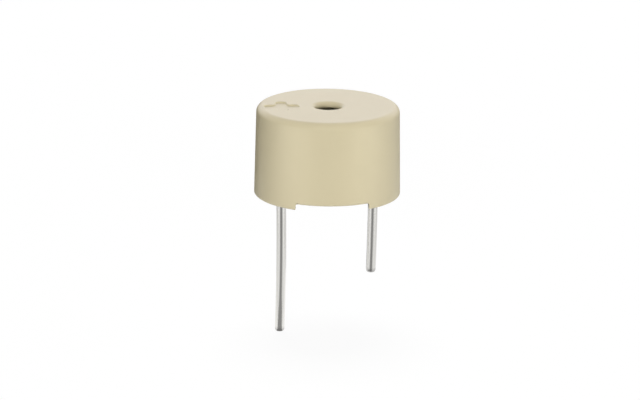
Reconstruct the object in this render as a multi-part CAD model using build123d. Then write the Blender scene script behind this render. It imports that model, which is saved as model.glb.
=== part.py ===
from build123d import *
import os
from math import cos, radians, sin, tan

# Micro buzzer for a circuit board: a moulded can with a sound port stands on two feet over an
# electromagnet that drives a steel diaphragm. Resin closes the can from below, around two leads.
# The origin is on the can's axis, in the plane that the feet stand on. +Z goes out of the sound
# port, the long positive lead is at -X and the short negative one at +X. Millimetres and degrees.

# Moulded housing
housing_diameter = 12.0  # at the feet, where the drafted wall is widest
housing_height = 7.4
draft_angle = 1.0
side_wall = 0.6  # at the feet
top_wall = 0.45
top_edge_radius = 0.55
chamber_height = 1.15  # air over the ledge that the diaphragm ring bears against
ledge_width = 0.8
port_diameter = 2.3
port_lip_radius = 0.3
foot_height = 0.5
foot_relief_width = 6.0  # gap between the feet, front and back

# Leads
lead_inset = 1.6  # lead axis to the housing's bore, which sets the leads 7.6 apart
lead_diameter = 0.8
long_lead_reach = 11.85  # below the feet
short_lead_reach = 6.85
lead_tip_bevel = 0.15
lead_shoulder_cover = 0.05  # resin over the shank's end, where the solder tail begins
lead_tail_diameter = 0.45
lead_tail_setback = 0.1  # its end stays below the yoke plate

# Sealing resin
resin_recess = 0.2  # above the reliefs between the feet
resin_climb = 0.16  # down the wall, where the pool wets it
resin_meniscus = 0.1  # width of that wetted edge

# Circuit board and its solder
component_room = 1.2  # resin between its lower face and the board
board_thickness = 0.6
copper_thickness = 0.05
track_width = 0.35
lead_pad_diameter = 1.6
wire_pad_width = 0.9
wire_hole_diameter = 0.3
lead_solder_diameter = 1.3
lead_solder_height = 0.45
wire_solder_diameter = 0.75
wire_solder_height = 0.3

# Driver transistor
transistor_inset = 2.5  # its middle to the housing's bore, at +Y
transistor_length = 2.9
transistor_width = 1.3
transistor_height = 0.9
transistor_draft = 7.0
transistor_standoff = 0.08
transistor_span = 2.4  # across the tips of its leads
transistor_lead_pitch = 1.9
transistor_lead_width = 0.4
transistor_lead_thickness = 0.12
transistor_lead_foot = 0.3
transistor_pad_width = 0.7
transistor_pad_length = 0.8

# Base resistor
resistor_inset = 2.5  # its middle to the housing's bore, at -Y
resistor_length = 1.6
resistor_width = 0.8
resistor_height = 0.45
resistor_cap_length = 0.3
resistor_cap_wall = 0.03
resistor_pad_length = 0.7
resistor_pad_width = 0.9

# Magnetic drive
assembly_clearance = 0.05
yoke_thickness = 0.7
core_share = 0.45  # of the coil's radius, a balance of iron and copper
core_proud = 0.15  # above the coil
core_bevel = 0.1
core_spigot_diameter = 1.2  # pressed into the yoke plate and flush under it
magnet_wall = 1.0
magnet_drop = 0.4  # below the diaphragm
wire_gap = 0.4  # room for the wires between coil and magnet
wire_diameter = 0.1
wire_exit_height = 0.6  # above the yoke plate, where a wire leaves its winding
wire_slot_length = 0.5  # punched in the yoke plate, along its radius
wire_slot_width = 0.3

# Diaphragm
ring_rim = 0.3
seat_depth = 0.25
seat_width = 0.6
diaphragm_clearance = 0.1
diaphragm_thickness = 0.05
pole_gap = 0.25  # diaphragm to core
armature_margin = 1.0  # inside the magnet's bore, in plan
armature_thickness = 0.3

cut_overrun = 1.0

# Heights above the feet, from the bottom up
resin_bottom = foot_height + resin_recess
board_bottom = resin_bottom + component_room
board_top = board_bottom + board_thickness
copper_face = board_bottom - copper_thickness
yoke_top = board_top + yoke_thickness
ceiling = housing_height - top_wall
ledge = ceiling - chamber_height
seat = ledge - seat_depth
core_top = seat - pole_gap
coil_top = core_top - core_proud
magnet_top = seat - magnet_drop

# Radii, from the wall inwards
housing_radius = housing_diameter / 2
bore_radius = housing_radius - side_wall
board_radius = bore_radius - assembly_clearance
rim_radius = board_radius - ring_rim
diaphragm_radius = rim_radius - diaphragm_clearance
ring_bore_radius = diaphragm_radius - seat_width
magnet_radius = ring_bore_radius - assembly_clearance
magnet_bore_radius = magnet_radius - magnet_wall
coil_radius = magnet_bore_radius - wire_gap
core_radius = coil_radius * core_share
coil_bore_radius = core_radius + assembly_clearance
armature_radius = magnet_bore_radius - armature_margin

# Places in plan
lead_x = bore_radius - lead_inset
transistor_y = bore_radius - transistor_inset
resistor_y = resistor_inset - bore_radius
wire_radius = coil_radius + wire_diameter / 2
drive_angle = 150
common_angle = 210
feedback_angle = 330
wire_angles = (drive_angle, common_angle, feedback_angle)


def round_place(angle):
    """Where a coil wire passes the board, at an angle about the axis."""
    return (wire_radius * cos(radians(angle)), wire_radius * sin(radians(angle)))


def turned(points, rounds=(), bevels=()):
    """Solid turned about the axis from (radius, height) points.

    rounds and bevels are (point, size) pairs for the corners that are rounded or bevelled.
    """
    section = make_face(Polyline(*points, close=True))
    for corner, size in rounds:
        section = fillet(section.vertices().sort_by_distance(Vector(*corner))[0], size)
    for corner, size in bevels:
        section = chamfer(section.vertices().sort_by_distance(Vector(*corner))[0], size)
    return revolve(Plane.XZ * section, axis=Axis.Z)


def disc(radius, bottom, top):
    """Plain disc about the axis."""
    return Pos(0, 0, bottom) * extrude(Circle(radius), amount=top - bottom)


def tube(outer, inner, bottom, top):
    """Plain ring about the axis."""
    return disc(outer, bottom, top) - disc(inner, bottom, top)


def bored(body, places, diameter, bottom, top):
    """Body with a round hole at each place, cut through from bottom to top."""
    depth = top - bottom + 2 * cut_overrun
    for x, y in places:
        body -= Pos(x, y, (bottom + top) / 2) * Cylinder(diameter / 2, depth)
    return body


def housing():
    """Can with a drafted wall, a rounded sound port and a rim that is relieved between the feet."""
    top_radius = housing_radius - housing_height * tan(radians(draft_angle))
    chamber_radius = bore_radius - ledge_width
    port_radius = port_diameter / 2
    top_corner = (top_radius, housing_height)
    port_corner = (port_radius, housing_height)
    shell = turned(
        [
            (bore_radius, 0),
            (housing_radius, 0),
            top_corner,
            port_corner,
            (port_radius, ceiling),
            (chamber_radius, ceiling),
            (chamber_radius, ledge),
            (bore_radius, ledge),
        ],
        rounds=[(top_corner, top_edge_radius), (port_corner, port_lip_radius)],
    )
    relief_length = housing_diameter + 2 * cut_overrun
    relief = Box(foot_relief_width, relief_length, 2 * foot_height)
    return shell - relief


def lead(x, reach):
    """Stepped lead: round shank with a bevelled tip, and a thin tail through resin and board."""
    shank = lead_diameter / 2
    tail = lead_tail_diameter / 2
    shoulder = resin_bottom + lead_shoulder_cover
    tail_top = board_top - lead_tail_setback
    tip = (shank, -reach)
    pin = turned(
        [(0, -reach), tip, (shank, shoulder), (tail, shoulder), (tail, tail_top), (0, tail_top)],
        bevels=[(tip, lead_tip_bevel)],
    )
    return Pos(x, 0, 0) * pin


def circuit_board():
    """Round board with holes for the lead tails and the coil's wires."""
    board = disc(board_radius, board_bottom, board_top)
    board = bored(board, [(-lead_x, 0), (lead_x, 0)], lead_tail_diameter, board_bottom, board_top)
    wire_places = [round_place(angle) for angle in wire_angles]
    return bored(board, wire_places, wire_hole_diameter, board_bottom, board_top)


def track(*points):
    """Outline of a copper track through some places."""
    return trace(Polyline(*points), line_width=track_width)


def copper_tracks():
    """Pads and tracks under the board, one net of the driver for each track."""
    row = (transistor_span - transistor_lead_foot) / 2
    base = (-transistor_lead_pitch / 2, transistor_y - row)
    emitter = (transistor_lead_pitch / 2, transistor_y - row)
    collector = (0, transistor_y + row)
    cap = (resistor_length - resistor_cap_length) / 2
    base_end = (-cap, resistor_y)
    feedback_end = (cap, resistor_y)
    positive = (-lead_x, 0)
    negative = (lead_x, 0)
    drive = round_place(drive_angle)
    common = round_place(common_angle)
    feedback = round_place(feedback_angle)

    copper = track(positive, common) + track(emitter, negative) + track(feedback, feedback_end)
    copper += track(drive, (drive[0], collector[1]), collector)
    copper += track(base, (base[0], 0), base_end)
    for place in (base, emitter, collector):
        copper += Pos(*place) * Rectangle(transistor_pad_width, transistor_pad_length)
    for place in (base_end, feedback_end):
        copper += Pos(*place) * Rectangle(resistor_pad_length, resistor_pad_width)
    for place in (positive, negative):
        copper += Pos(*place) * Circle(lead_pad_diameter / 2)
        copper -= Pos(*place) * Circle(lead_tail_diameter / 2)
    for place in (drive, common, feedback):
        copper += Pos(*place) * Rectangle(wire_pad_width, wire_pad_width)
        copper -= Pos(*place) * Circle(wire_hole_diameter / 2)
    return Pos(0, 0, copper_face) * extrude(copper, amount=copper_thickness)


def under_board(y):
    """Placing of a component that is built upright, hung from the copper at a distance along Y."""
    return Pos(0, y, copper_face) * Rot(180, 0, 0)


def transistor_body():
    """Moulded body with drafted sides above and below its leads, standing on its pads."""
    outline = Rectangle(transistor_length, transistor_width)
    half = extrude(outline, amount=transistor_height / 2, taper=transistor_draft)
    middle = transistor_standoff + transistor_height / 2
    return Pos(0, 0, middle) * (half + mirror(half, about=Plane.XY))


def transistor_leads():
    """Three bent leads: base and emitter on one side, collector on the other."""
    sole = transistor_lead_thickness / 2
    middle = transistor_standoff + transistor_height / 2
    tip = transistor_span / 2
    heel = tip - transistor_lead_foot
    root = transistor_width / 2 - transistor_lead_thickness
    line = Polyline((tip, sole), (heel, sole), (heel, middle), (root, middle))
    edge = trace(line, line_width=transistor_lead_thickness)
    strip = extrude(edge, amount=transistor_lead_width / 2, both=True)
    bent = Rot(0, 0, 90) * Rot(90, 0, 0) * strip - transistor_body()
    spread = transistor_lead_pitch / 2
    return [
        Pos(-spread, 0, 0) * bent,
        Pos(spread, 0, 0) * bent,
        Rot(0, 0, 180) * bent,
    ]


def resistor_body():
    """Ceramic chip between its two end caps."""
    length = resistor_length - 2 * resistor_cap_wall
    width = resistor_width - 2 * resistor_cap_wall
    height = resistor_height - 2 * resistor_cap_wall
    return Pos(0, 0, resistor_height / 2) * Box(length, width, height)


def resistor_caps():
    """Plated end caps that wrap the chip's ends and stand on the pads."""
    shift = (resistor_length - resistor_cap_length) / 2
    block = Box(resistor_cap_length, resistor_width, resistor_height)
    return [Pos(x, 0, resistor_height / 2) * block - resistor_body() for x in (-shift, shift)]


def solder(x, y, bore, spread, height):
    """Cone of solder against a pad, with a bore where a tail passes through it."""
    root = bore / 2
    cone = turned([(root, copper_face - height), (root, copper_face), (spread / 2, copper_face)])
    return Pos(x, y, 0) * cone


def lead_solder(x):
    """Solder around a lead's tail."""
    return solder(x, 0, lead_tail_diameter, lead_solder_diameter, lead_solder_height)


def coil_wire(angle):
    """Winding end that runs down the coil's side, through yoke plate and board to its pad."""
    x, y = round_place(angle)
    return Pos(x, y, 0) * disc(wire_diameter / 2, copper_face, yoke_top + wire_exit_height)


def wire_solder(angle):
    """Solder over the end of a coil wire and its pad."""
    x, y = round_place(angle)
    return solder(x, y, 0, wire_solder_diameter, wire_solder_height)


def pole_core():
    """Turned core with a bevelled pole and a spigot that is pressed into the yoke plate."""
    spigot = core_spigot_diameter / 2
    pole_edge = (core_radius, core_top)
    return turned(
        [
            (0, board_top),
            (spigot, board_top),
            (spigot, yoke_top),
            (core_radius, yoke_top),
            pole_edge,
            (0, core_top),
        ],
        bevels=[(pole_edge, core_bevel)],
    )


def yoke_plate():
    """Round iron plate with the spigot's hole and three punched slots for the coil's wires."""
    plate = tube(magnet_radius, core_spigot_diameter / 2, board_top, yoke_top)
    slot = Box(wire_slot_length, wire_slot_width, yoke_thickness + 2 * cut_overrun)
    for angle in wire_angles:
        x, y = round_place(angle)
        plate -= Pos(x, y, (board_top + yoke_top) / 2) * Rot(0, 0, angle) * slot
    return plate


def coil():
    """Both windings as one body, on the core."""
    return tube(coil_radius, coil_bore_radius, yoke_top, coil_top)


def ring_magnet():
    """Pressed ring magnet on the yoke plate, around the coil."""
    return tube(magnet_radius, magnet_bore_radius, yoke_top, magnet_top)


def diaphragm_ring():
    """Moulded ring around the magnet, stepped at its top to seat the diaphragm."""
    return turned(
        [
            (ring_bore_radius, board_top),
            (board_radius, board_top),
            (board_radius, ledge),
            (rim_radius, ledge),
            (rim_radius, seat),
            (ring_bore_radius, seat),
        ]
    )


def diaphragm():
    """Thin steel disc on the ring's seat."""
    return disc(diaphragm_radius, seat, seat + diaphragm_thickness)


def armature_disc():
    """Small steel weight on the middle of the diaphragm."""
    bottom = seat + diaphragm_thickness
    return disc(armature_radius, bottom, bottom + armature_thickness)


def sealing_resin(embedded):
    """Resin under the board's copper, wetting the wall at its edge, around what is set in it."""
    shore = (bore_radius, resin_bottom - resin_climb)
    level = (bore_radius - resin_meniscus, resin_bottom)
    pool = turned([(0, resin_bottom), level, shore, (bore_radius, copper_face), (0, copper_face)])
    return pool - embedded


transistor_place = under_board(transistor_y)
resistor_place = under_board(resistor_y)
nodes = {
    "housing": [housing()],
    "positive_lead": [lead(-lead_x, long_lead_reach)],
    "negative_lead": [lead(lead_x, short_lead_reach)],
    "transistor_body": [transistor_place * transistor_body()],
    "transistor_leads": [transistor_place * bent for bent in transistor_leads()],
    "resistor_body": [resistor_place * resistor_body()],
    "resistor_caps": [resistor_place * cap for cap in resistor_caps()],
    "lead_solder_joints": [lead_solder(-lead_x), lead_solder(lead_x)],
    "coil_wires": [coil_wire(angle) for angle in wire_angles],
    "coil_solder_joints": [wire_solder(angle) for angle in wire_angles],
}
embedded = [solid for name, solids in nodes.items() if name != "housing" for solid in solids]
nodes["sealing_resin"] = [sealing_resin(embedded)]
nodes["circuit_board"] = [circuit_board()]
nodes["copper_tracks"] = copper_tracks().solids()
nodes["pole_core"] = [pole_core()]
nodes["yoke_plate"] = [yoke_plate()]
nodes["coil"] = [coil()]
nodes["ring_magnet"] = [ring_magnet()]
nodes["diaphragm_ring"] = [diaphragm_ring()]
nodes["diaphragm"] = [diaphragm()]
nodes["armature_disc"] = [armature_disc()]

os.makedirs("parts", exist_ok=True)
for name, solids in nodes.items():
    shape = solids[0] if len(solids) == 1 else Compound(children=solids)
    export_step(shape, f"parts/{name}.step")
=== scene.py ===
# %% [markdown]
# # A micro buzzer, dressed in Blender
# The buzzer is a small moulded can that stands on a circuit board by two leads. Its solids come
# from the CAD model as a fixed frame. Here the pieces that show are modelled again with more care
# for edges and small irregularities, and every piece gets a finish made of nodes.
# Lengths are metres, in the frame of the CAD model: +Z goes out of the sound port.

# %% Load the frame
from math import cos, pi, radians, sin, tan

import bmesh
import bpy
from mathutils import Matrix, Vector


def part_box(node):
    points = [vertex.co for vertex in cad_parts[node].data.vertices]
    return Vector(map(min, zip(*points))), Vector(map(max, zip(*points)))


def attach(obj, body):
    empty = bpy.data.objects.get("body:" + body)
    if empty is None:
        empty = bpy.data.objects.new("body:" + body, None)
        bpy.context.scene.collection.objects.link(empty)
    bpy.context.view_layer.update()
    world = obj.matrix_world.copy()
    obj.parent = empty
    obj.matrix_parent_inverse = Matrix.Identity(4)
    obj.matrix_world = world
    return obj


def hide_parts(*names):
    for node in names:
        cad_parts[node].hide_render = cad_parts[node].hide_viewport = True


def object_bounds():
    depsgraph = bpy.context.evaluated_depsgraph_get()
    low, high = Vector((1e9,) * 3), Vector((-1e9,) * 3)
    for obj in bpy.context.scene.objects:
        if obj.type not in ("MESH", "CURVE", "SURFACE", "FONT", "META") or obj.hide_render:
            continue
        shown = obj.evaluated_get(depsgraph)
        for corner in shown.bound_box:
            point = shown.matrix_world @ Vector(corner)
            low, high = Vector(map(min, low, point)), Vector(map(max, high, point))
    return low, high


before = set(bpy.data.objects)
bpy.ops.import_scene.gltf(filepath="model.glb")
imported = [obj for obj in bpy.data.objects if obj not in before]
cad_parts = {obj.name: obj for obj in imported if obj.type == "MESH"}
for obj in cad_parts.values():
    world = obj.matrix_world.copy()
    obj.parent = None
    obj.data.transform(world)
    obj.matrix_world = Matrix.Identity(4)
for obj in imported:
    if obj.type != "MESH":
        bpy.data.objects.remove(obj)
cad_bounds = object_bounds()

MM = 0.001


def in_mm(lengths, digits=2):
    """Lengths in millimetres, rounded for print."""
    return [round(length / MM, digits) for length in lengths]


print("CAD nodes:", len(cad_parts), "box:", [in_mm(corner) for corner in cad_bounds])

# %% [markdown]
# ## Camera
# A small part is photographed from some distance with a long lens, so its upright edges stay
# nearly parallel. The camera's direction is given by an azimuth, an elevation and a slight roll,
# and its aim is worked out so that one point on the axis falls on its place in the picture.
# Keeping the lens shift at zero lets other views turn freely around the part.

# %% Camera
azimuth, elevation, roll = radians(-4.95), radians(16.1), radians(0.70)
camera_distance = 400 * MM
focal_pixels = 4857.0
frame_width, frame_height = 640, 400
sensor_width = 36.0
axis_point = Vector((0, 0, -2 * MM))
axis_pixel = (326.72, 215.8)

back = Vector((sin(azimuth) * cos(elevation), -cos(azimuth) * cos(elevation), sin(elevation)))
level = Vector((cos(azimuth), sin(azimuth), 0))
upright = back.cross(level)
right = level * cos(roll) + upright * sin(roll)
up = upright * cos(roll) - level * sin(roll)
pixel = camera_distance / focal_pixels
aim = axis_point - right * (axis_pixel[0] - frame_width / 2) * pixel
aim += up * (axis_pixel[1] - frame_height / 2) * pixel
eye = aim + back * camera_distance

bpy.ops.object.select_all(action="DESELECT")
bpy.ops.object.camera_add(location=eye)
camera = bpy.context.object
camera.matrix_world = Matrix(
    [[right[i], up[i], back[i], eye[i]] for i in range(3)] + [[0, 0, 0, 1]]
)
camera.data.sensor_width = sensor_width
camera.data.lens = focal_pixels * sensor_width / frame_width
camera.data.clip_start = 10 * MM
camera.data.clip_end = 10000 * MM
bpy.context.scene.camera = camera
bpy.context.scene.view_settings.view_transform = "Standard"
print("lens", round(camera.data.lens, 1), "mm, eye at", in_mm(eye, 1), "mm")

# %% [markdown]
# ## Floor
# The picture has a plain white ground. A floor that only glows would lose the shadow, and one that
# only reflects would turn grey, so what the camera sees of it mixes both: mostly a white glow, and
# for the rest a chalk surface that takes the shadow. For the light that bounces up to the part it is
# a plain white table, because a glowing floor would wash out the shading of the can. From below,
# the back of the floor is see-through, so that the underside can be looked at.

# %% Floor
floor_level = cad_bounds[0][2]
floor_size = 2400 * MM
floor_shadow_share = 0.12
floor_glow = 1.05
chalk_tone, table_tone = 0.9, 0.65
bpy.ops.object.select_all(action="DESELECT")
bpy.ops.mesh.primitive_plane_add(size=floor_size, location=(0, 0, floor_level))
floor = bpy.context.object
floor.name = "studio_floor"
floor.visible_glossy = False

floor_paint = bpy.data.materials.new("floor_paint")
floor_paint.use_nodes = True
nodes, links = floor_paint.node_tree.nodes, floor_paint.node_tree.links
nodes.clear()
glow = nodes.new("ShaderNodeEmission")
glow.inputs["Strength"].default_value = floor_glow
chalk = nodes.new("ShaderNodeBsdfDiffuse")
chalk.inputs["Color"].default_value = (chalk_tone, chalk_tone, chalk_tone, 1)
table = nodes.new("ShaderNodeBsdfDiffuse")
table.inputs["Color"].default_value = (table_tone, table_tone, table_tone, 1)
clear = nodes.new("ShaderNodeBsdfTransparent")
ground = nodes.new("ShaderNodeMixShader")
ground.inputs["Fac"].default_value = floor_shadow_share
by_ray = nodes.new("ShaderNodeMixShader")
one_sided = nodes.new("ShaderNodeMixShader")
ray = nodes.new("ShaderNodeLightPath")
facing = nodes.new("ShaderNodeNewGeometry")
surface = nodes.new("ShaderNodeOutputMaterial")
links.new(glow.outputs["Emission"], ground.inputs[1])
links.new(chalk.outputs["BSDF"], ground.inputs[2])
links.new(ray.outputs["Is Camera Ray"], by_ray.inputs["Fac"])
links.new(table.outputs["BSDF"], by_ray.inputs[1])
links.new(ground.outputs["Shader"], by_ray.inputs[2])
links.new(facing.outputs["Backfacing"], one_sided.inputs["Fac"])
links.new(by_ray.outputs["Shader"], one_sided.inputs[1])
links.new(clear.outputs["BSDF"], one_sided.inputs[2])
links.new(one_sided.outputs["Shader"], surface.inputs["Surface"])
floor.data.materials.append(floor_paint)
print("floor at", round(floor_level / MM, 2), "mm")

# %% [markdown]
# ## Cards
# Shiny things look like what stands round them, so a photographer lays white cards on the table.
# A wide one lies beside and behind the leads, which would otherwise look black at their edges. It
# reaches only as far as the leads mirror the table, and a dark card on it gives the leads a dark line
# from behind as well. A small grey card at the foot of the long lead points at it with one corner, so
# its mirror image widens the lead's dark line towards the tip. The can stands higher and mirrors the
# table further out, where two brighter cards, left and right of the camera, give it its soft
# highlights. The cards are seen in mirror images and nowhere else.

# %% Cards


def mirror_card(name, middle, size, near_glow, far_glow, turn=0.0, stretch=1.0):
    """Card on the table whose glow changes with the distance from the part."""
    bpy.ops.object.select_all(action="DESELECT")
    bpy.ops.mesh.primitive_plane_add(size=size, location=middle, rotation=(0, 0, turn))
    card = bpy.context.object
    card.name = name
    bpy.ops.transform.resize(value=(stretch, 1, 1), center_override=middle)
    bpy.ops.object.transform_apply(location=True, rotation=True, scale=True)
    for rays in ("camera", "diffuse", "transmission", "volume_scatter", "shadow"):
        setattr(card, "visible_" + rays, False)
    paint = bpy.data.materials.new(name)
    paint.use_nodes = True
    nodes, links = paint.node_tree.nodes, paint.node_tree.links
    nodes.clear()
    place = nodes.new("ShaderNodeTexCoord")
    apart = nodes.new("ShaderNodeVectorMath")
    apart.operation = "LENGTH"
    fade = nodes.new("ShaderNodeMapRange")
    fade.inputs["From Min"].default_value = max(0.0, Vector(middle).xy.length - size / 2)
    fade.inputs["From Max"].default_value = Vector(middle).xy.length + size / 2
    fade.inputs["To Min"].default_value = near_glow
    fade.inputs["To Max"].default_value = far_glow
    glow = nodes.new("ShaderNodeEmission")
    surface = nodes.new("ShaderNodeOutputMaterial")
    links.new(place.outputs["Object"], apart.inputs[0])
    links.new(apart.outputs["Value"], fade.inputs["Value"])
    links.new(fade.outputs["Result"], glow.inputs["Strength"])
    links.new(glow.outputs["Emission"], surface.inputs["Surface"])
    card.data.materials.append(paint)
    return card


def lead_place(node):
    """Where a lead stands along X."""
    low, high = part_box(node)
    return (low.x + high.x) / 2


card_lift = 0.2 * MM
tip_card_size, can_card_size = 8 * MM, 90 * MM
tip_card_away, can_card_away = tip_card_size / 2**0.5, 110 * MM
tip_card_middle = (
    lead_place("positive_lead") + tip_card_away * sin(azimuth),
    -tip_card_away * cos(azimuth),
    floor_level + card_lift / 4,
)
cards = [
    mirror_card(
        "lead_card", (0, 17 * MM, floor_level), size=36 * MM, near_glow=1.3, far_glow=0.85, stretch=2.5
    ),
    mirror_card(
        "dark_card", (0, 24 * MM, floor_level + card_lift), size=18 * MM, near_glow=0.1, far_glow=0.1
    ),
    mirror_card(
        "tip_card", tip_card_middle, tip_card_size, near_glow=0.34, far_glow=0.34, turn=azimuth + pi / 4
    ),
]
for name, degrees, glow in (("left_can_card", -52, 3.2), ("right_can_card", 61, 3.0)):
    card_turn = azimuth + radians(degrees)
    middle = (can_card_away * sin(card_turn), -can_card_away * cos(card_turn), floor_level)
    cards.append(mirror_card(name, middle, can_card_size, glow, glow, turn=card_turn))
print("cards:", {card.name: in_mm(card.dimensions, 1) for card in cards})

# %% [markdown]
# ## Light
# A studio for small parts has soft boxes round the table. One hangs overhead and lights the top. The
# others stand low, so that their light grazes the top and leaves the sound port and the sunk sign in
# shade: a broad one beside the camera, a weak one at the left and a stronger one at the right, which
# light most of the front evenly and let it fall off into a darker left edge, and one behind for the
# far side. Each is an area light that looks at the part, and its power is worked out from the share
# of light that it gives to a surface that faces it. The boxes are left out of mirror images, because
# a room is drawn for those below.

# %% Soft boxes
light_target = Vector((0, 0, 2 * MM))


def soft_box(name, turn, rise, width, tall, share, away=600 * MM):
    """Area light that looks at the part, at a turn from the camera's side and a rise, in degrees."""
    angle = azimuth + radians(turn)
    climb = radians(rise)
    toward = Vector((sin(angle) * cos(climb), -cos(angle) * cos(climb), sin(climb)))
    bpy.ops.object.select_all(action="DESELECT")
    bpy.ops.object.light_add(type="AREA", location=light_target + toward * away)
    lamp = bpy.context.object
    lamp.name = name
    lamp.rotation_euler = toward.to_track_quat("Z", "Y").to_euler()
    lamp.data.shape = "RECTANGLE"
    lamp.data.size = width
    lamp.data.size_y = tall
    lamp.data.energy = share * (pi * away) ** 2
    lamp.visible_camera = False
    lamp.visible_glossy = False
    return lamp


boxes = [
    soft_box("overhead_box", 183, 76, 300 * MM, 300 * MM, 0.41),
    soft_box("key_box", 0, 12, 420 * MM, 200 * MM, 0.69),
    soft_box("left_box", -38, 8, 220 * MM, 120 * MM, 0.17),
    soft_box("right_box", 95, 8, 300 * MM, 120 * MM, 0.41),
    soft_box("rear_box", 185, 12, 420 * MM, 120 * MM, 0.4),
]
print("soft boxes:", [lamp.name for lamp in boxes])

# %% [markdown]
# ## Surroundings
# What the camera sees past the floor is white. What the part mirrors is a room, drawn as two
# ramps. Upright walls, seen from a little above, mirror what stands low around them: dark on the
# camera's side, which gives the round leads their dark middle line, pale at both sides, and dark
# again at the far left. The flat top mirrors what is high, and there the back wall is bright and a
# little warm. Soft fill for diffuse light is a plain grey. The Light Path node tells these rays apart.

# %% Room ramps
fill_strength = 0.03
world = bpy.data.worlds.new("studio")
bpy.context.scene.world = world
world.use_nodes = True
nodes, links = world.node_tree.nodes, world.node_tree.links
nodes.clear()
heading = nodes.new("ShaderNodeTexCoord")


def along(direction):
    """How far a ray goes along a direction."""
    dot = nodes.new("ShaderNodeVectorMath")
    dot.operation = "DOT_PRODUCT"
    dot.inputs[1].default_value = direction
    links.new(heading.outputs["Generated"], dot.inputs[0])
    return dot.outputs["Value"]


def ranged(value, low, high):
    """A value mapped from a range to 0 to 1."""
    node = nodes.new("ShaderNodeMapRange")
    node.inputs["From Min"].default_value = low
    node.inputs["From Max"].default_value = high
    links.new(value, node.inputs["Value"])
    return node.outputs["Result"]


def tone_ramp(value, tones, tint=(1.0, 1.0, 1.0)):
    """Ramp of one tint over a value, from (place, tone) pairs."""
    ramp = nodes.new("ShaderNodeValToRGB")
    for place, tone in tones[1:-1]:
        ramp.color_ramp.elements.new(place)
    for stop, (place, tone) in zip(ramp.color_ramp.elements, tones):
        stop.position = place
        stop.color = (*(tone * part for part in tint), 1)
    links.new(value, ramp.inputs["Fac"])
    return ramp.outputs["Color"]


to_right = Vector((cos(azimuth), sin(azimuth), 0))
to_camera = Vector((sin(azimuth), -cos(azimuth), 0))
compass = nodes.new("ShaderNodeMath")
compass.operation = "ARCTAN2"
links.new(along(to_right), compass.inputs[0])
links.new(along(to_camera), compass.inputs[1])
low_tones = [
    (-180, 0.1), (-165, 0.02), (-110, 0.02), (-88, 0.5), (-70, 1.0), (-42, 1.0), (-22, 0.38), (0, 0.27),
    (20, 0.38), (38, 0.9), (60, 1.0), (95, 0.9), (140, 0.5), (180, 0.1),
]
low_places = [((degrees + 180) / 360, tone) for degrees, tone in low_tones]
low_room = tone_ramp(ranged(compass.outputs["Value"], -pi, pi), low_places)
high_tones = [(0.0, 2.2), (0.3, 1.4), (0.6, 0.8), (1.0, 0.5)]
high_tint = (1.0, 0.965, 0.975)
high_room = tone_ramp(ranged(along(to_camera), -1.0, 1.0), high_tones, high_tint)
print("room tones:", len(low_tones), "low,", len(high_tones), "high")

# %% World
low_ends, high_begins = 0.05, 0.2
room = nodes.new("ShaderNodeMix")
room.data_type = "RGBA"
links.new(ranged(along(Vector((0, 0, 1))), low_ends, high_begins), room.inputs["Factor"])
links.new(low_room, room.inputs["A"])
links.new(high_room, room.inputs["B"])
mirrored = nodes.new("ShaderNodeBackground")
fill = nodes.new("ShaderNodeBackground")
fill.inputs["Color"].default_value = (1, 1, 1, 1)
fill.inputs["Strength"].default_value = fill_strength
white = nodes.new("ShaderNodeBackground")
white.inputs["Color"].default_value = (1, 1, 1, 1)
ray = nodes.new("ShaderNodeLightPath")
for_gloss = nodes.new("ShaderNodeMixShader")
for_camera = nodes.new("ShaderNodeMixShader")
seen = nodes.new("ShaderNodeMath")
seen.operation = "MAXIMUM"
surroundings = nodes.new("ShaderNodeOutputWorld")
links.new(room.outputs["Result"], mirrored.inputs["Color"])
links.new(ray.outputs["Is Glossy Ray"], for_gloss.inputs["Fac"])
links.new(fill.outputs["Background"], for_gloss.inputs[1])
links.new(mirrored.outputs["Background"], for_gloss.inputs[2])
links.new(ray.outputs["Is Camera Ray"], seen.inputs[0])
links.new(ray.outputs["Is Transmission Ray"], seen.inputs[1])
links.new(seen.outputs["Value"], for_camera.inputs["Fac"])
links.new(for_gloss.outputs["Shader"], for_camera.inputs[1])
links.new(white.outputs["Background"], for_camera.inputs[2])
links.new(for_camera.outputs["Shader"], surroundings.inputs["Surface"])
print("fill strength", fill_strength)

# %% [markdown]
# ## Shared effects
# Moulded, pressed and cast surfaces all vary a little: broad cloudy patches in colour, and a fine
# grain that changes how sharply they shine. Drawn and rolled metal has fine lines along one
# direction. Both effects are used by several finishes, so each is a node group that is built once
# and placed with its own values. A group gives out only colours and values, and the shader stays
# in the material.

# %% Node group helpers


def start_group(name, inputs):
    """New node group with named inputs, and the three outputs that a finish needs."""
    group = bpy.data.node_groups.new(name, "ShaderNodeTree")
    for title, kind, value in inputs:
        socket = group.interface.new_socket(name=title, in_out="INPUT", socket_type="NodeSocket" + kind)
        socket.default_value = value
    for title, kind in (("Color", "Color"), ("Roughness", "Float"), ("Height", "Float")):
        group.interface.new_socket(name=title, in_out="OUTPUT", socket_type="NodeSocket" + kind)
    return group, group.nodes.new("NodeGroupInput"), group.nodes.new("NodeGroupOutput")


def math_node(nodes, links, operation, first, second):
    """Math node with its two values linked or set."""
    node = nodes.new("ShaderNodeMath")
    node.operation = operation
    for socket, value in zip(node.inputs, (first, second)):
        if isinstance(value, (int, float)):
            socket.default_value = value
        else:
            links.new(value, socket)
    return node.outputs["Value"]


def around_one(nodes, links, value, depth):
    """A noise value made a factor that swings about one by a depth."""
    centred = math_node(nodes, links, "SUBTRACT", value, 0.5)
    swing = math_node(nodes, links, "MULTIPLY", centred, depth)
    return math_node(nodes, links, "ADD", swing, 1.0)


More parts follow.
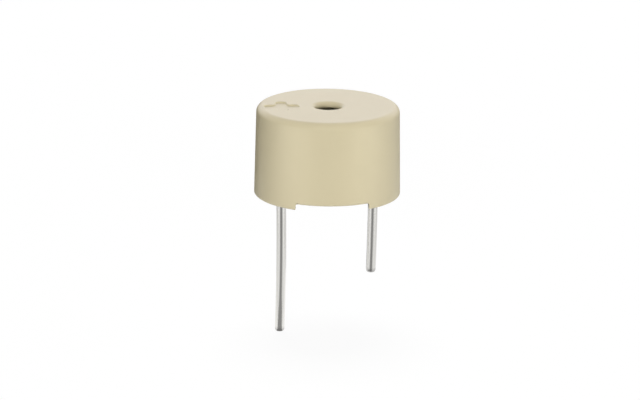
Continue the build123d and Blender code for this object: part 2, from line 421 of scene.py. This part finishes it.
def vary(group, given, result, tone, depth, grain):
    """One noise varies the colour of a group by a depth, and another its roughness and height."""
    nodes, links = group.nodes, group.links
    shade = nodes.new("ShaderNodeVectorMath")
    shade.operation = "SCALE"
    links.new(given.outputs["Color"], shade.inputs[0])
    links.new(around_one(nodes, links, tone, given.outputs[depth]), shade.inputs["Scale"])
    dulling = around_one(nodes, links, grain, given.outputs["Roughness Swing"])
    dulled = math_node(nodes, links, "MULTIPLY", given.outputs["Roughness"], dulling)
    links.new(shade.outputs["Vector"], result.inputs["Color"])
    links.new(dulled, result.inputs["Roughness"])
    links.new(grain, result.inputs["Height"])


print("helpers for node groups are ready")

# %% Mottle group
mottle, given, result = start_group(
    "mottle",
    [
        ("Color", "Color", (0.5, 0.5, 0.5, 1)),
        ("Patch Scale", "Float", 400.0),
        ("Patch Depth", "Float", 0.1),
        ("Grain Scale", "Float", 9000.0),
        ("Roughness", "Float", 0.5),
        ("Roughness Swing", "Float", 0.2),
    ],
)
nodes, links = mottle.nodes, mottle.links
place = nodes.new("ShaderNodeTexCoord")
patches = nodes.new("ShaderNodeTexNoise")
patches.inputs["Detail"].default_value = 3.0
grain = nodes.new("ShaderNodeTexNoise")
grain.inputs["Detail"].default_value = 2.0
for noise, scale in ((patches, "Patch Scale"), (grain, "Grain Scale")):
    links.new(place.outputs["Object"], noise.inputs["Vector"])
    links.new(given.outputs[scale], noise.inputs["Scale"])
vary(mottle, given, result, patches.outputs["Fac"], "Patch Depth", grain.outputs["Fac"])
print("node group", mottle.name, "with", len(nodes), "nodes")

# %% Drawn lines group
drawn_lines, given, result = start_group(
    "drawn_lines",
    [
        ("Color", "Color", (0.6, 0.6, 0.6, 1)),
        ("Line Scale", "Vector", (9000.0, 9000.0, 150.0)),
        ("Line Depth", "Float", 0.15),
        ("Roughness", "Float", 0.3),
        ("Roughness Swing", "Float", 0.4),
    ],
)
nodes, links = drawn_lines.nodes, drawn_lines.links
place = nodes.new("ShaderNodeTexCoord")
stretch = nodes.new("ShaderNodeVectorMath")
stretch.operation = "MULTIPLY"
lines = nodes.new("ShaderNodeTexNoise")
lines.inputs["Scale"].default_value = 1.0
lines.inputs["Detail"].default_value = 2.0
links.new(place.outputs["Object"], stretch.inputs[0])
links.new(given.outputs["Line Scale"], stretch.inputs[1])
links.new(stretch.outputs["Vector"], lines.inputs["Vector"])
vary(drawn_lines, given, result, lines.outputs["Fac"], "Line Depth", lines.outputs["Fac"])
print("node group", drawn_lines.name, "with", len(nodes), "nodes")

# %% [markdown]
# ## Starting a finish
# Every finish starts in the same way: a material with a Principled shader, one of the two groups
# with its values, and a Bump node that turns the group's height into a very small relief. A helper
# does this, and a finish that needs more adds its own nodes afterwards.

# %% Finish helper


def finish_from(name, group, relief, metallic=0.0, ior=1.5, **values):
    """Material whose colour, roughness and relief come from a group placed with its own values."""
    material = bpy.data.materials.new(name)
    material.use_nodes = True
    nodes, links = material.node_tree.nodes, material.node_tree.links
    shader = nodes["Principled BSDF"]
    shader.inputs["Metallic"].default_value = metallic
    shader.inputs["IOR"].default_value = ior
    effect = nodes.new("ShaderNodeGroup")
    effect.name = "effect"
    effect.node_tree = group
    for key, value in values.items():
        effect.inputs[key.replace("_", " ").title()].default_value = value
    bump = nodes.new("ShaderNodeBump")
    bump.name = "bump"
    bump.inputs["Strength"].default_value = 1.0
    bump.inputs["Distance"].default_value = relief
    links.new(effect.outputs["Color"], shader.inputs["Base Color"])
    links.new(effect.outputs["Roughness"], shader.inputs["Roughness"])
    links.new(effect.outputs["Height"], bump.inputs["Height"])
    links.new(bump.outputs["Normal"], shader.inputs["Normal"])
    return material


print("finish helper is ready")

# %% [markdown]
# ## Can: the turned shell
# The can is injection moulded: its wall leans in by a degree so that it leaves the mould, its top
# edge is rounded, and the sound port has a soft lip. A lathe profile could be spun, but walking a
# ring round the section keeps the size of every step in view: a circle is extruded and resized
# from corner to corner, and its last ring meets the first. The number of sides puts vertices
# where the feet end, so that the later cut leaves no slivers.

# %% Ring helpers
tiny = 5e-6


def start_ring(name, sides, radius, centre):
    """New circle in edit mode, all selected, with its object at the origin."""
    bpy.ops.object.select_all(action="DESELECT")
    bpy.ops.mesh.primitive_circle_add(vertices=sides, radius=radius, location=centre)
    piece = bpy.context.object
    piece.name = name
    piece.data.name = name
    bpy.ops.object.transform_apply(location=True, rotation=True, scale=True)
    bpy.ops.object.mode_set(mode="EDIT")
    bpy.ops.mesh.select_mode(type="EDGE")
    bpy.ops.mesh.select_all(action="SELECT")
    return piece


def walk_ring(stations):
    """Extrudes the selected ring through stations, each a radius and a centre. The first is where it is."""
    radius, centre = stations[0]
    for next_radius, next_centre in stations[1:]:
        step = Vector(next_centre) - Vector(centre)
        bpy.ops.mesh.extrude_region_move(TRANSFORM_OT_translate={"value": step})
        share = next_radius / radius
        bpy.ops.transform.resize(value=(share, share, 1), center_override=next_centre)
        radius, centre = next_radius, next_centre


def pick(piece, kind, test):
    """In edit mode, selects the edges or faces that pass a test, and gives their number."""
    bpy.ops.mesh.select_mode(type=kind)
    bpy.ops.mesh.select_all(action="DESELECT")
    shape = bmesh.from_edit_mesh(piece.data)
    picked = [part for part in (shape.edges if kind == "EDGE" else shape.faces) if test(part)]
    for part in picked:
        part.select_set(True)
    bmesh.update_edit_mesh(piece.data)
    return len(picked)


def pick_edges(piece, test):
    """In edit mode, selects the edges whose two ends both pass a test of their place."""
    return pick(piece, "EDGE", lambda edge: all(test(end.co) for end in edge.verts))


def on_ring(radius, height):
    """Test for a place on a circle about the axis."""
    return lambda co: abs(co.xy.length - radius) < tiny and abs(co.z - height) < tiny


print("ring helpers are ready")

# %% Can shell
can_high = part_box("housing")[1]
foot_radius, can_height = can_high.x, can_high.z
can_draft = radians(1.0)
top_wall, ledge_width = 0.45 * MM, 0.8 * MM
bore_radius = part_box("sealing_resin")[1].x
ledge_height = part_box("diaphragm_ring")[1].z
ceiling_height = can_height - top_wall
chamber_radius = bore_radius - ledge_width
port_radius = 1.05 * MM
top_radius = foot_radius - can_height * tan(can_draft)
can_sides = 192

can = start_ring("moulded_can", can_sides, bore_radius, (0, 0, 0))
section = [
    (bore_radius, 0),
    (foot_radius, 0),
    (top_radius, can_height),
    (port_radius, can_height),
    (port_radius, ceiling_height),
    (chamber_radius, ceiling_height),
    (chamber_radius, ledge_height),
    (bore_radius, ledge_height),
    (bore_radius, 0),
]
walk_ring([(radius, (0, 0, height)) for radius, height in section])
bpy.ops.mesh.select_all(action="SELECT")
bpy.ops.mesh.remove_doubles(threshold=tiny)
bpy.ops.mesh.normals_make_consistent(inside=False)
print("can shell:", len(bmesh.from_edit_mesh(can.data).faces), "faces")

# %% [markdown]
# ## Can: rounded top edge and port lip
# Both rounds are wide enough to catch light, so they are true geometry. The edge loops are selected
# by their place and bevelled with several segments. A bevel's offset is the tangent length of the
# round, which is slightly less than its radius where the wall leans.

# %% Can rounds
top_edge_radius = 0.55 * MM
port_lip_radius = 0.4 * MM
pick_edges(can, on_ring(top_radius, can_height))
top_tangent = top_edge_radius * tan((pi / 2 - can_draft) / 2)
bpy.ops.mesh.bevel(offset=top_tangent, segments=10, profile=0.5, affect="EDGES")
pick_edges(can, on_ring(port_radius, can_height))
bpy.ops.mesh.bevel(offset=port_lip_radius, segments=8, profile=0.5, affect="EDGES")
flat_outer = top_radius - top_tangent
flat_inner = port_radius + port_lip_radius
print("flat of the top from", round(flat_inner / MM, 3), "to", round(flat_outer / MM, 3), "mm")

# %% [markdown]
# ## Can: one clean top face
# A sign is going to be sunk into the flat top. If the top stayed a fan of narrow faces, the cut
# would leave slivers where it crosses them. Dissolving all but two of the radial edges first turns
# the flat into two large half rings, and the cut then leaves only its own edges.

# %% Can top face


def is_spoke(edge):
    """Test for a radial edge of the flat top, other than the two in the plane between the leads."""
    ends = [end.co for end in edge.verts]
    flat = all(abs(end.z - can_height) < tiny for end in ends)
    radial = abs(ends[0].xy.length - ends[1].xy.length) > (flat_outer - flat_inner) / 2
    aside = all(abs(end.x) > tiny for end in ends)
    return flat and radial and aside


spokes = pick(can, "EDGE", is_spoke)
bpy.ops.mesh.dissolve_edges(use_verts=False)
bpy.ops.object.mode_set(mode="OBJECT")
print("dissolved", spokes, "spokes of the top")

# %% [markdown]
# ## Can: feet
# The rim is cut back at the front and the back, which leaves two feet. They lift the can off the
# board, so that flux can be washed out. A block as wide as the gap is subtracted with a Boolean
# modifier, which is how a toolmaker would think of it too. The cut meets the draft of the wall at
# very short edges, so corners closer than a fiftieth of a millimetre are merged after it. The lower
# outer edges of feet and rim are then rounded, because worn moulds leave them soft.

# %% Can feet


def select_only(piece):
    """Makes one object the active and the only selected one."""
    bpy.ops.object.select_all(action="DESELECT")
    bpy.context.view_layer.objects.active = piece
    piece.select_set(True)


def apply_new(piece, kind, **settings):
    """Adds a modifier with some settings to a piece and applies it."""
    select_only(piece)
    bpy.ops.object.modifier_add(type=kind)
    modifier = piece.modifiers[-1]
    for key, value in settings.items():
        setattr(modifier, key, value)
    bpy.ops.object.modifier_apply(modifier=modifier.name)


def subtract(piece, cutter, merge):
    """Cuts one mesh out of another with a Boolean modifier, and merges corners closer than a distance."""
    apply_new(piece, "BOOLEAN", operation="DIFFERENCE", solver="EXACT", object=cutter)
    bpy.data.objects.remove(cutter)
    bpy.ops.object.mode_set(mode="EDIT")
    bpy.ops.mesh.select_all(action="SELECT")
    bpy.ops.mesh.remove_doubles(threshold=merge)
    bpy.ops.object.mode_set(mode="OBJECT")


foot_height = 0.5 * MM
foot_round = 0.15 * MM
relief_width = 6.0 * MM
relief_merge = 0.02 * MM
bpy.ops.object.select_all(action="DESELECT")
bpy.ops.mesh.primitive_cube_add(size=1, scale=(relief_width, 3 * foot_radius, 2 * foot_height))
relief = bpy.context.object
bpy.ops.object.transform_apply(location=True, rotation=True, scale=True)
subtract(can, relief, merge=relief_merge)
bpy.ops.object.mode_set(mode="EDIT")
relief_radius = foot_radius - foot_height * tan(can_draft)
for radius, height in ((foot_radius, 0), (relief_radius, foot_height)):
    print("rounded", pick_edges(can, on_ring(radius, height)), "edges at", round(height / MM, 2), "mm")
    bpy.ops.mesh.bevel(offset=foot_round, segments=4, profile=0.5, affect="EDGES")
bpy.ops.object.mode_set(mode="OBJECT")
print("can with feet:", len(can.data.polygons), "faces")

# %% [markdown]
# ## Can: polarity sign
# A plain plus is sunk into the top over the long lead, so that the buzzer goes in the right way
# round. A cube just above the top is the middle of the sign. Its four sides are pulled out into arms,
# and the corners are rounded. Its underside is then inset and pushed down into the top, which gives
# the sunk walls one even slope, as moulded signs have, and the block is subtracted.

# %% Polarity sign block
sign_centre = Vector((-3.81 * MM, -0.05 * MM, 0))
sign_depth = 0.12 * MM
sign_slope = 0.1 * MM
arm_width = 1.0 * MM
arm_reach = 1.48 * MM
arm_corner = 0.4 * MM
inner_corner = 0.3 * MM
block_lift = 0.02 * MM
block_height = 0.2 * MM
bpy.ops.object.select_all(action="DESELECT")
bpy.ops.mesh.primitive_cube_add(
    size=1,
    location=sign_centre + Vector((0, 0, can_height + block_lift + block_height / 2)),
    scale=(arm_width, arm_width, block_height),
)
sign = bpy.context.object
bpy.ops.object.transform_apply(location=True, rotation=True, scale=True)
bpy.ops.object.mode_set(mode="EDIT")
for arm in (Vector((1, 0, 0)), Vector((-1, 0, 0)), Vector((0, 1, 0)), Vector((0, -1, 0))):
    beside = Vector((arm.y, arm.x, 0))
    bpy.ops.mesh.select_mode(type="FACE")
    bpy.ops.mesh.select_all(action="DESELECT")
    shape = bmesh.from_edit_mesh(sign.data)
    offsets = {face: face.calc_center_median() - sign_centre for face in shape.faces}
    root = max(offsets, key=lambda face: offsets[face].dot(arm) - abs(offsets[face].dot(beside)))
    root.select_set(True)
    bmesh.update_edit_mesh(sign.data)
    pull = arm * (arm_reach - arm_width / 2)
    bpy.ops.mesh.extrude_region_move(TRANSFORM_OT_translate={"value": pull})
print("sign block:", len(bmesh.from_edit_mesh(sign.data).faces), "faces")

# %% Polarity sign corners and slope


def round_corners(outer, radius):
    """Rounds the upright edges of the sign block, at the ends of its arms or in its inner corners."""

    def is_corner(edge):
        ends = [end.co - sign_centre for end in edge.verts]
        at_end = max(abs(ends[0].x), abs(ends[0].y)) > arm_reach - tiny
        return abs(ends[0].z - ends[1].z) > tiny and at_end == outer

    pick(sign, "EDGE", is_corner)
    bpy.ops.mesh.bevel(offset=radius, segments=6, profile=0.5, affect="EDGES")


round_corners(False, inner_corner)
round_corners(True, arm_corner)
facing_down = -0.3
pick(sign, "FACE", lambda face: face.normal.z < facing_down)
bpy.ops.mesh.inset(thickness=sign_slope, depth=sign_depth + block_lift)
sign_floor = min(corner.co.z for corner in bmesh.from_edit_mesh(sign.data).verts)
bpy.ops.object.mode_set(mode="OBJECT")
subtract(can, sign, merge=tiny)
print("can with its sign:", len(can.data.polygons), "faces")
print("sign sunk by", round((can_height - sign_floor) / MM, 3), "mm")

# %% [markdown]
# ## Can: broken edges and smooth shading
# No moulded edge is perfectly sharp. A Bevel modifier limited by angle breaks the edges of feet,
# sign and bore by a few hundredths of a millimetre. Its overlap clamp is off, because one very short
# edge would hold back the bevel of all the others. Shading is then smooth on the rounds and crisp
# at corners, and a Weighted Normal modifier keeps the large flats flat. That modifier passes over
# faces of less than about a millionth of a square metre, so it is applied while the piece is scaled
# up a thousand times.

# %% Can edges


def open_edges(piece):
    """How many edges of a piece don't join exactly two faces."""
    shape = bmesh.new()
    shape.from_mesh(piece.data)
    count = sum(1 for edge in shape.edges if len(edge.link_faces) != 2)
    shape.free()
    return count


def scale_mesh(piece, factor):
    """Scales the mesh of the selected piece about the origin."""
    piece.scale = (factor, factor, factor)
    bpy.ops.object.transform_apply(location=False, rotation=False, scale=True)


def smooth_shading(piece, angle):
    """Faces outwards, smooth shading below an angle, and normals that follow the large faces."""
    select_only(piece)
    bpy.ops.object.mode_set(mode="EDIT")
    bpy.ops.mesh.select_all(action="SELECT")
    bpy.ops.mesh.remove_doubles(threshold=tiny / 10)
    bpy.ops.mesh.normals_make_consistent(inside=False)
    bpy.ops.object.mode_set(mode="OBJECT")
    bpy.ops.object.shade_smooth_by_angle(angle=angle)
    scale_mesh(piece, 1 / MM)
    apply_new(piece, "WEIGHTED_NORMAL", keep_sharp=True)
    scale_mesh(piece, MM)


broken_edge = 0.04 * MM
crease_angle = radians(35)
apply_new(
    can, "BEVEL", width=broken_edge, segments=2, limit_method="ANGLE", angle_limit=crease_angle,
    use_clamp_overlap=False,
)
smooth_shading(can, crease_angle)
print("finished can:", len(can.data.polygons), "faces,", open_edges(can), "open edges")

# %% [markdown]
# ## Can: warm moulded plastic
# The can is a warm beige, slightly glossy from a polished mould, with a fine satin grain. Patches
# a millimetre or two across vary its shade by very little, as filled plastic does.

# %% Can finish
housing_color = (0.64, 0.565, 0.37, 1)
can_plastic = finish_from(
    "housing_plastic",
    mottle,
    relief=0.004 * MM,
    ior=1.57,
    color=housing_color,
    patch_scale=420.0,
    patch_depth=0.05,
    grain_scale=6500.0,
    roughness=0.37,
    roughness_swing=0.3,
)
can.data.materials.clear()
can.data.materials.append(can_plastic)
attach(can, "root")
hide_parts("housing")
print("can finish:", can_plastic.name)

# %% [markdown]
# ## Leads
# Two round tinned wires carry the current. The positive one is longer. Cut and handled wire is
# never dead straight: the long lead bows a little and the short one leans near its end. Each is
# a ring walked down from its hidden tail in the board, out at the shoulder in the resin, down the
# shank and in at the cropped tip, and its ends are then filled.

# %% Leads
lead_sides = 40
shank_radius = 0.4 * MM
tail_radius = 0.225 * MM
shoulder_height = 0.75 * MM
tip_steps = [(1.0, 0.3), (0.97, 0.18), (0.89, 0.09), (0.77, 0.03), (0.62, 0.0)]
shank_steps = 12
long_lead_bow, short_lead_lean = 0.075 * MM, 0.09 * MM
turned_crease = radians(40)


def round_lead(name, node, drift):
    """Lead in place of a CAD node. drift gives its sideways place along the shank, from 0 to 1."""
    low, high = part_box(node)
    middle = lead_place(node)
    lead = start_ring(name, lead_sides, tail_radius, (middle, 0, high.z))
    stations = [
        (tail_radius, (middle, 0, high.z)),
        (tail_radius, (middle, 0, shoulder_height)),
        (shank_radius, (middle, 0, shoulder_height)),
    ]
    tip_start = low.z + tip_steps[0][1] * MM
    for step in range(1, shank_steps):
        height = shoulder_height + (tip_start - shoulder_height) * step / shank_steps
        share = (shoulder_height - height) / (shoulder_height - low.z)
        stations.append((shank_radius, (middle + drift(share), 0, height)))
    for narrowing, above in tip_steps:
        height = low.z + above * MM
        share = (shoulder_height - height) / (shoulder_height - low.z)
        stations.append((shank_radius * narrowing, (middle + drift(share), 0, height)))
    walk_ring(stations)
    bpy.ops.mesh.select_all(action="SELECT")
    bpy.ops.mesh.fill_holes(sides=0)
    bpy.ops.object.mode_set(mode="OBJECT")
    smooth_shading(lead, turned_crease)
    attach(lead, "root")
    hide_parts(node)
    print(name, "between heights", in_mm([high.z, low.z]), "mm,", open_edges(lead), "open edges")
    return lead


long_lead = round_lead("long_lead", "positive_lead", lambda share: long_lead_bow * sin(pi * share))
short_lead = round_lead("short_lead", "negative_lead", lambda share: -short_lead_lean * share**2)

# %% [markdown]
# ## Leads: tin plate
# Tin plate on drawn wire is bright, with faint lines along the wire. Near the cropped tip it is
# rougher, and its colour is darkened there with painted shade, which stands in for a dark reflection.
# A ramp over the height of each lead blends the tip into the bright shank, so each lead has its own
# material with its own tip height.

# %% Tin finish
tin_color = (0.72, 0.71, 0.68, 1)
# The darker tip colour is painted shade, standing in for a dark reflection near the tip.
tip_painted_shade = (0.46, 0.45, 0.44, 1)
tip_roughness = 0.3
tip_length = 0.1 * MM
tip_fade = 0.4 * MM


def tin_plate(name):
    """Bright tin plate with faint drawing lines along Z."""
    return finish_from(
        name,
        drawn_lines,
        relief=0.002 * MM,
        metallic=1.0,
        color=tin_color,
        line_scale=(9000.0, 9000.0, 120.0),
        line_depth=0.14,
        roughness=0.2,
        roughness_swing=0.5,
    )


def tinned_lead(name, tip_height):
    """Tin plate that turns rougher towards the tip of one lead, and darker there with painted shade."""
    material = tin_plate(name)
    nodes, links = material.node_tree.nodes, material.node_tree.links
    shader = nodes["Principled BSDF"]
    effect = nodes["effect"]
    place = nodes.new("ShaderNodeTexCoord")
    axes = nodes.new("ShaderNodeSeparateXYZ")
    ramp = nodes.new("ShaderNodeMapRange")
    ramp.interpolation_type = "SMOOTHSTEP"
    ramp.inputs["From Min"].default_value = tip_height + tip_length + tip_fade
    ramp.inputs["From Max"].default_value = tip_height + tip_length
    blend = nodes.new("ShaderNodeMix")
    blend.data_type = "RGBA"
    # The blend paints the shade of the tip into the colour.
    blend.inputs["B"].default_value = tip_painted_shade
    links.new(place.outputs["Object"], axes.inputs["Vector"])
    links.new(axes.outputs["Z"], ramp.inputs["Value"])
    links.new(ramp.outputs["Result"], blend.inputs["Factor"])
    links.new(effect.outputs["Color"], blend.inputs["A"])
    links.new(blend.outputs["Result"], shader.inputs["Base Color"])
    worn = math_node(nodes, links, "MULTIPLY", ramp.outputs["Result"], tip_roughness)
    dulled = math_node(nodes, links, "MAXIMUM", effect.outputs["Roughness"], worn)
    links.new(dulled, shader.inputs["Roughness"])
    return material


for lead, node in ((long_lead, "positive_lead"), (short_lead, "negative_lead")):
    lead.data.materials.clear()
    lead.data.materials.append(tinned_lead(lead.name + "_tin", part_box(node)[0].z))
    print(lead.name, "finish:", lead.data.materials[0].name)

# %% [markdown]
# ## Sealing resin
# Liquid resin is poured into the upturned can and sets there. Its surface creeps up the wall and
# the leads in a small concave curve, a meniscus. A copy of the CAD mesh keeps every pocket around
# the buried pieces. Its outer face is deleted, and the open loops at the wall and at the leads are
# extruded into curves before the flat between them is filled again. The loops round the flat are
# marked sharp, so that the long triangles of the fill are shaded as one flat.

# %% Resin pool
pool = bpy.data.objects.new("resin_pool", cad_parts["sealing_resin"].data.copy())
bpy.context.scene.collection.objects.link(pool)
select_only(pool)
resin_level = 0.7 * MM
bpy.ops.object.mode_set(mode="EDIT")
bpy.ops.mesh.select_mode(type="FACE")
bpy.ops.mesh.select_all(action="SELECT")
bpy.ops.mesh.remove_doubles(threshold=tiny / 10)


def is_outer(face):
    """Test for a face of the pool's underside."""
    return face.normal.z < facing_down and face.calc_center_median().z < resin_level + tiny


pick(pool, "FACE", is_outer)
bpy.ops.mesh.delete(type="FACE")
loose = pick_edges(pool, lambda co: co.z < resin_level + tiny)
print("edges at the open loops after the outer face is deleted:", loose)

# %% Resin meniscus
wall_climb, wall_creep = 0.16 * MM, 0.3 * MM
lead_climb, lead_creep = 0.1 * MM, 0.2 * MM
curve_steps = 6
lead_places = [lead_place(node) for node in ("positive_lead", "negative_lead")]


def curve_in(start_radius, end_radius, climb, centre):
    """Stations of a concave curve from a wetted wall to the level of the pool."""
    stations = []
    for step in range(curve_steps + 1):
        share = step / curve_steps
        radius = start_radius + (end_radius - start_radius) * share
        stations.append((radius, (centre, 0, resin_level - climb * (1 - share) ** 2)))
    return stations


pick_edges(pool, lambda co: abs(co.xy.length - bore_radius) < 2 * tiny and co.z < resin_level - tiny)
walk_ring(curve_in(bore_radius, bore_radius - wall_creep, wall_climb, 0))
for centre in lead_places:
    pick_edges(
        pool,
        lambda co: abs((co.xy - Vector((centre, 0))).length - shank_radius) < 2 * tiny
        and abs(co.z - resin_level) < tiny,
    )
    foot_of_curve = [(shank_radius, (centre, 0, resin_level))]
    walk_ring(foot_of_curve + curve_in(shank_radius, shank_radius + lead_creep, lead_climb, centre))


def round_flat(co):
    """Test for a place on one of the three loops round the flat of the pool."""
    from_leads = [(co.xy - Vector((centre, 0))).length - shank_radius - lead_creep for centre in lead_places]
    from_loops = from_leads + [co.xy.length - (bore_radius - wall_creep)]
    return abs(co.z - resin_level) < tiny / 5 and any(abs(apart) < 2 * tiny for apart in from_loops)


pick_edges(pool, round_flat)
bpy.ops.mesh.fill()
pick_edges(pool, round_flat)
bpy.ops.mesh.mark_sharp()
bpy.ops.object.mode_set(mode="OBJECT")
smooth_shading(pool, turned_crease)
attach(pool, "root")
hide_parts("sealing_resin")
print("resin pool:", len(pool.data.polygons), "faces,", open_edges(pool), "open edges")

# %% [markdown]
# ## Resin: black and glossy
# Cast epoxy is black with a soft gloss, and its surface is never quite even. The mottle group gives
# the shade, and a second, broader noise waves the surface a little.

# %% Resin finish
black_resin = finish_from(
    "sealing_resin",
    mottle,
    relief=0.003 * MM,
    ior=1.55,
    color=(0.03, 0.03, 0.032, 1),
    patch_scale=500.0,
    patch_depth=0.4,
    grain_scale=1500.0,
    roughness=0.24,
    roughness_swing=0.5,
)
nodes, links = black_resin.node_tree.nodes, black_resin.node_tree.links
waves = nodes.new("ShaderNodeTexNoise")
waves.inputs["Scale"].default_value = 450.0
where = nodes.new("ShaderNodeTexCoord")
swell = nodes.new("ShaderNodeBump")
swell.inputs["Distance"].default_value = 0.03 * MM
links.new(where.outputs["Object"], waves.inputs["Vector"])
links.new(waves.outputs["Fac"], swell.inputs["Height"])
links.new(nodes["bump"].outputs["Normal"], swell.inputs["Normal"])
links.new(swell.outputs["Normal"], nodes["Principled BSDF"].inputs["Normal"])
pool.data.materials.clear()
pool.data.materials.append(black_resin)
print("resin finish:", black_resin.name)

# %% [markdown]
# ## Inner pieces
# The drive inside is hidden, but the model can be opened, so each of its pieces has a finish as
# well. Pressed, moulded and soldered surfaces use the mottle group. Drawn and rolled metal uses
# the drawn lines group, with the lines along the direction in which it was worked.

# %% Mottled finishes
mottled = {
    "copper_tracks": finish_from(
        "copper", mottle, 0.002 * MM, metallic=1.0, color=(0.72, 0.4, 0.25, 1), patch_scale=900.0,
        patch_depth=0.5, grain_scale=8000.0, roughness=0.35, roughness_swing=0.5,
    ),
    "transistor_body": finish_from(
        "black_moulding", mottle, 0.006 * MM, color=(0.02, 0.02, 0.022, 1), patch_scale=1500.0,
        patch_depth=0.5, grain_scale=12000.0, roughness=0.6, roughness_swing=0.3,
    ),
    "resistor_body": finish_from(
        "chip_ceramic", mottle, 0.002 * MM, color=(0.05, 0.05, 0.06, 1), patch_scale=2500.0,
        patch_depth=0.6, grain_scale=9000.0, roughness=0.3, roughness_swing=0.4,
    ),
    "lead_solder_joints": finish_from(
        "solder", mottle, 0.01 * MM, metallic=1.0, color=(0.6, 0.6, 0.58, 1), patch_scale=1800.0,
        patch_depth=0.35, grain_scale=2500.0, roughness=0.3, roughness_swing=0.5,
    ),
    "ring_magnet": finish_from(
        "magnet_ferrite", mottle, 0.01 * MM, color=(0.08, 0.08, 0.085, 1), patch_scale=1200.0,
        patch_depth=0.5, grain_scale=9000.0, roughness=0.62, roughness_swing=0.3,
    ),
    "diaphragm_ring": finish_from(
        "ring_plastic", mottle, 0.004 * MM, color=(0.06, 0.06, 0.065, 1), patch_scale=700.0,
        patch_depth=0.25, grain_scale=7000.0, roughness=0.5, roughness_swing=0.3,
    ),
}
mottled["coil_solder_joints"] = mottled["lead_solder_joints"]
print("mottled finishes:", sorted({finish.name for finish in mottled.values()}))

# %% Lined finishes
rolled_steel = finish_from(
    "spring_steel", drawn_lines, 0.002 * MM, metallic=1.0, color=(0.56, 0.55, 0.53, 1),
    line_scale=(150.0, 12000.0, 12000.0), line_depth=0.25, roughness=0.3, roughness_swing=0.5,
)
soft_iron = finish_from(
    "soft_iron", drawn_lines, 0.003 * MM, metallic=1.0, color=(0.5, 0.5, 0.5, 1),
    line_scale=(6000.0, 6000.0, 9000.0), line_depth=0.3, roughness=0.36, roughness_swing=0.4,
)
wire_enamel = finish_from(
    "enamelled_copper", drawn_lines, 0.001 * MM, metallic=1.0, color=(0.5, 0.17, 0.06, 1),
    line_scale=(9000.0, 9000.0, 300.0), line_depth=0.2, roughness=0.26, roughness_swing=0.3,
)
lined = {
    "transistor_leads": tin_plate("tinned_metal"),
    "diaphragm": rolled_steel,
    "armature_disc": rolled_steel,
    "pole_core": soft_iron,
    "yoke_plate": soft_iron,
    "coil_wires": wire_enamel,
}
lined["resistor_caps"] = lined["transistor_leads"]
print("lined finishes:", sorted({finish.name for finish in lined.values()}))

# %% [markdown]
# ## Coil and board
# Two inner pieces have a pattern of their own. The coil is wound from fine enamelled wire, so
# bands a tenth of a millimetre apart run round it and give it a ribbed relief. The board is woven
# glass in resin, which shows as two crossed sets of bands.

# %% Coil finish
turn_pitch = 0.1 * MM
coil_winding = finish_from(
    "coil_winding", mottle, 0.002 * MM, metallic=1.0, color=(0.5, 0.17, 0.06, 1), patch_scale=1500.0,
    patch_depth=0.3, grain_scale=8000.0, roughness=0.28, roughness_swing=0.3,
)
nodes, links = coil_winding.node_tree.nodes, coil_winding.node_tree.links


def bands(nodes, links, direction, pitch):
    """Even bands across one axis, a pitch apart."""
    where = nodes.new("ShaderNodeTexCoord")
    wave = nodes.new("ShaderNodeTexWave")
    wave.bands_direction = direction
    wave.inputs["Scale"].default_value = pi / (10 * pitch)
    wave.inputs["Distortion"].default_value = 0.0
    links.new(where.outputs["Object"], wave.inputs["Vector"])
    return wave.outputs["Fac"]


ribs = nodes.new("ShaderNodeBump")
ribs.inputs["Distance"].default_value = 0.03 * MM
links.new(bands(nodes, links, "Z", turn_pitch), ribs.inputs["Height"])
links.new(nodes["bump"].outputs["Normal"], ribs.inputs["Normal"])
links.new(ribs.outputs["Normal"], nodes["Principled BSDF"].inputs["Normal"])
print("coil finish:", coil_winding.name, "with turns", round(turn_pitch / MM, 2), "mm apart")

# %% Board finish
weave_pitch = 0.35 * MM
board_laminate = finish_from(
    "board_laminate", mottle, 0.002 * MM, color=(0.34, 0.3, 0.13, 1), patch_scale=600.0,
    patch_depth=0.25, grain_scale=7000.0, roughness=0.45, roughness_swing=0.3,
)
nodes, links = board_laminate.node_tree.nodes, board_laminate.node_tree.links
crossing = math_node(
    nodes, links, "MAXIMUM", bands(nodes, links, "X", weave_pitch), bands(nodes, links, "Y", weave_pitch)
)
tone = around_one(nodes, links, crossing, 0.3)
woven = nodes.new("ShaderNodeVectorMath")
woven.operation = "SCALE"
links.new(nodes["effect"].outputs["Color"], woven.inputs[0])
links.new(tone, woven.inputs["Scale"])
links.new(woven.outputs["Vector"], nodes["Principled BSDF"].inputs["Base Color"])
print("board finish:", board_laminate.name)

# %% Put the finishes on
for node, finish in {**mottled, **lined, "coil": coil_winding, "circuit_board": board_laminate}.items():
    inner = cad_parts[node]
    inner.data.materials.clear()
    inner.data.materials.append(finish)
print("inner pieces with a finish:", len(mottled) + len(lined) + 2)
